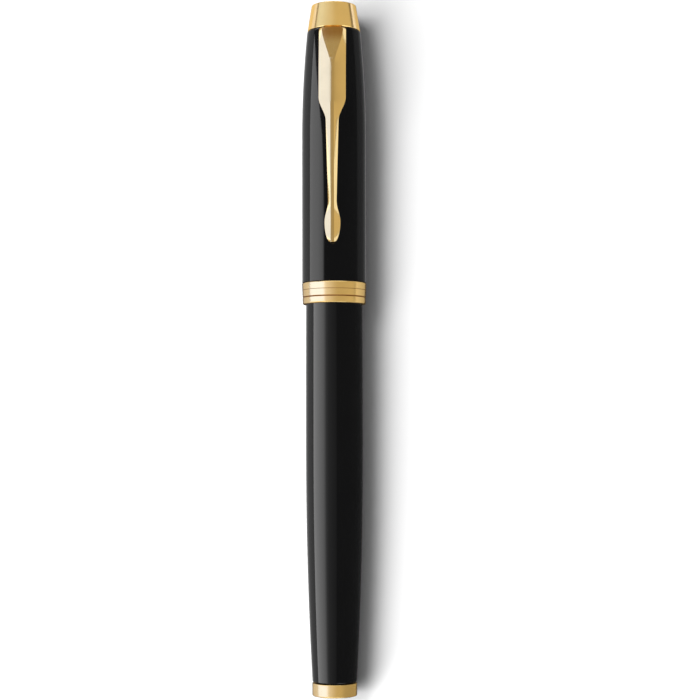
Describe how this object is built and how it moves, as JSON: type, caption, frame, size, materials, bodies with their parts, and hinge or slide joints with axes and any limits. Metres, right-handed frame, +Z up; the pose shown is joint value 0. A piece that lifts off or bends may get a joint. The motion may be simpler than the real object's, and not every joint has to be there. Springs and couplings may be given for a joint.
{
  "type": "rollerball pen",
  "caption": "Capped rollerball pen: black lacquered barrel and cap with gold-coloured trim, sprung pocket clip, screw-on barrel and a replaceable refill.",
  "frame": {"origin": "on the plane the pen lies on, under the middle of its length and width", "axes": "+Y along the pen from the tail to the crown, +X across the pen, +Z up through the clip"},
  "size_m": [0.0128, 0.137, 0.0147],
  "materials": {
    "black_lacquer": "brass tube under glossy black lacquer",
    "gold_plate": "gold-coloured plating, satin to polished",
    "raw_brass": "turned, bare",
    "grip_plastic": "moulded, satin black",
    "liner_plastic": "moulded, matte black",
    "steel": "drawn or turned stainless steel",
    "refill_metal": "drawn tube",
    "refill_plastic": "moulded",
    "ink_fibre": "ink-soaked fibre",
    "carbide": "ground carbide ball"
  },
  "bodies": {
    "section": {"grip_section": "grip_plastic", "nose_ring": "gold_plate"},
    "cap": {"cap_shell": "black_lacquer", "cap_band": "gold_plate", "cap_liner": "liner_plastic", "cap_crown": "gold_plate", "crown_screw": "steel", "clip_ring": "gold_plate"},
    "clip": {"clip_arm": "gold_plate"},
    "refill": {"refill_tube": "refill_metal", "refill_end_plug": "refill_plastic", "ink_reservoir": "ink_fibre", "tip_holder": "refill_plastic", "feed_wick": "ink_fibre", "tip_socket": "steel"},
    "ball": {"writing_ball": "carbide"},
    "spring": {"refill_spring": "steel"},
    "barrel": {"barrel_shell": "black_lacquer", "thread_insert": "raw_brass", "tail_plug": "liner_plastic", "tail_cap": "gold_plate"}
  },
  "joints": [
    {"name": "cap_pull", "type": "slide", "parent": "section", "child": "cap", "axis": [0, 1, 0], "range_m": [0, 0.06]},
    {"name": "clip_flex", "type": "hinge", "parent": "cap", "child": "clip", "pos_m": [0, 0.06255, 0.01172], "axis": [-1, 0, 0], "range_deg": [0, 4], "stiffness_Nm_per_rad": 1.8},
    {"name": "refill_push", "type": "slide", "parent": "section", "child": "refill", "axis": [0, -1, 0], "range_m": [0, 0.0015], "stiffness_N_per_m": 400, "springref_m": -0.0025, "deforming": ["refill_spring"]},
    {"name": "ball_roll", "type": "hinge", "parent": "refill", "child": "ball", "pos_m": [0, 0.0526, 0.00639], "axis": [1, 0, 0], "continuous": true},
    {"name": "barrel_travel", "type": "slide", "parent": "section", "child": "spring", "axis": [0, -1, 0], "range_m": [0, 0.0048], "deforming": ["refill_spring"]},
    {"name": "barrel_unscrew", "type": "hinge", "parent": "spring", "child": "barrel", "pos_m": [0, 0, 0.00639], "axis": [0, -1, 0], "range_deg": [0, 2160]}
  ],
  "couplings": [
    {"joint": "barrel_travel", "follows": "barrel_unscrew", "m_per_rad": 0.00012732}
  ]
}
